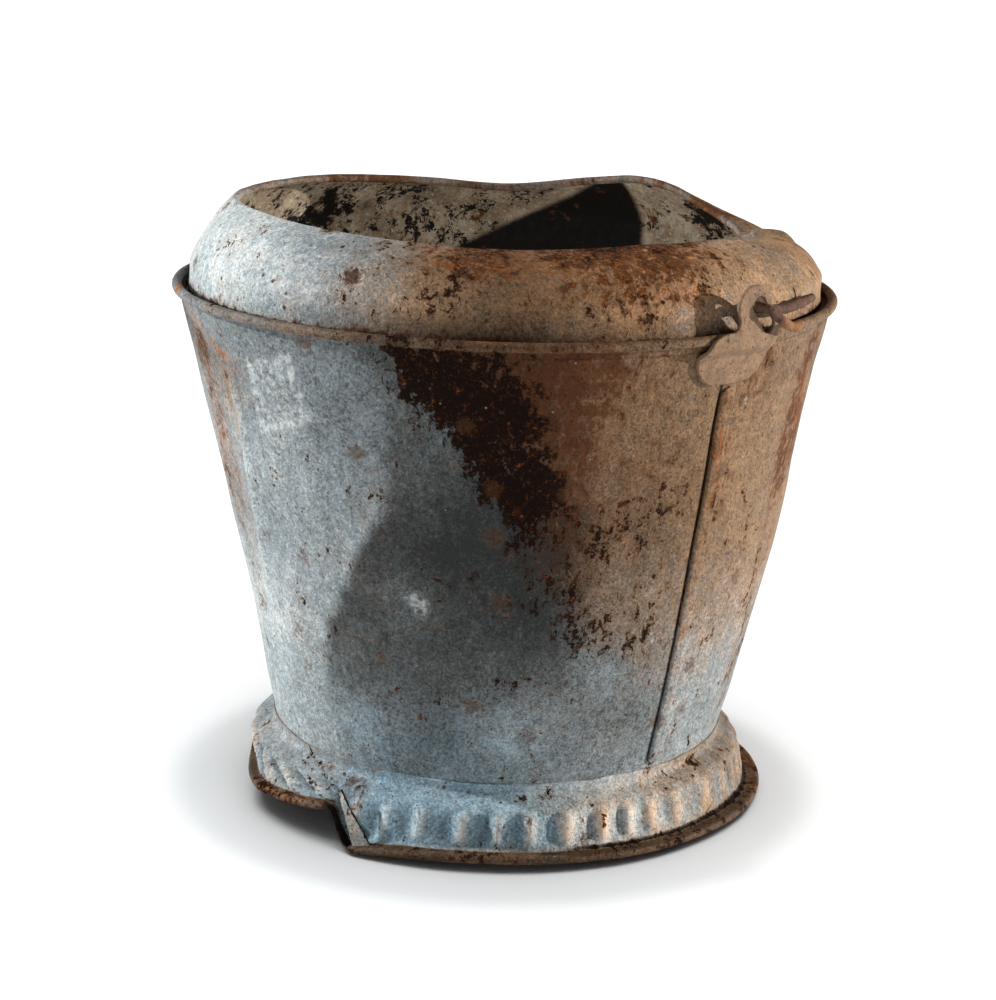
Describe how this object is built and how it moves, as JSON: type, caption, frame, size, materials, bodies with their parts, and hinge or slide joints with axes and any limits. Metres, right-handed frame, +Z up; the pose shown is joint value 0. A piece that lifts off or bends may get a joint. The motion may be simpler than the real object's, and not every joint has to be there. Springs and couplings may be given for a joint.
{
  "type": "florist bucket",
  "caption": "Old galvanised sheet-steel florist bucket with an inward collar, a flared fluted foot, stamped ears and the hinged stubs of a broken wire bail.",
  "frame": {"origin": "centre of the foot ring, on the ground", "axes": "+Z up along the bucket's axis; the two bail ears are on +X and -X; +Y is the side on whose rim the bail stubs lie"},
  "size_m": [0.329, 0.3116, 0.2813],
  "materials": {
    "zinc_wall": "weathered galvanised sheet, blue-grey zinc patina with broad brown rust stains and scratches",
    "zinc_collar": "weathered galvanised sheet, pale speckled zinc turning to tan-brown rust with dark flakes",
    "zinc_inside": "dull galvanised sheet, grey-brown with dark rust and dirt",
    "zinc_foot": "weathered galvanised sheet, blue-white zinc bloom with rust along the rolled edge",
    "rusty_ear": "tan-brown rusted steel, smooth with pits",
    "rusty_wire": "rusted steel wire",
    "rusty_bail": "crusty dark rust with orange patches"
  },
  "bodies": {
    "bucket": {"body_front_panel": "zinc_wall", "body_back_panel": "zinc_wall", "rim_wire": "rusty_wire", "collar": "zinc_collar", "collar_lip_wire": "rusty_wire", "bottom_disc": "zinc_inside", "foot_ring": "zinc_foot", "foot_wire": "rusty_wire", "ear_right": "rusty_ear", "ear_left": "rusty_ear", "ear_rivets_right": "rusty_ear", "ear_rivets_left": "rusty_ear"},
    "bail_right": {"bail_stub_right": "rusty_bail"},
    "bail_left": {"bail_stub_left": "rusty_bail"}
  },
  "joints": [
    {"name": "bail_right_swing", "type": "hinge", "parent": "bucket", "child": "bail_right", "pos_m": [0.157, 0.005, 0.2564], "axis": [1, 0, 0], "range_deg": [-4, 170]},
    {"name": "bail_left_swing", "type": "hinge", "parent": "bucket", "child": "bail_left", "pos_m": [-0.157, 0.005, 0.2564], "axis": [1, 0, 0], "range_deg": [-4, 170]}
  ]
}
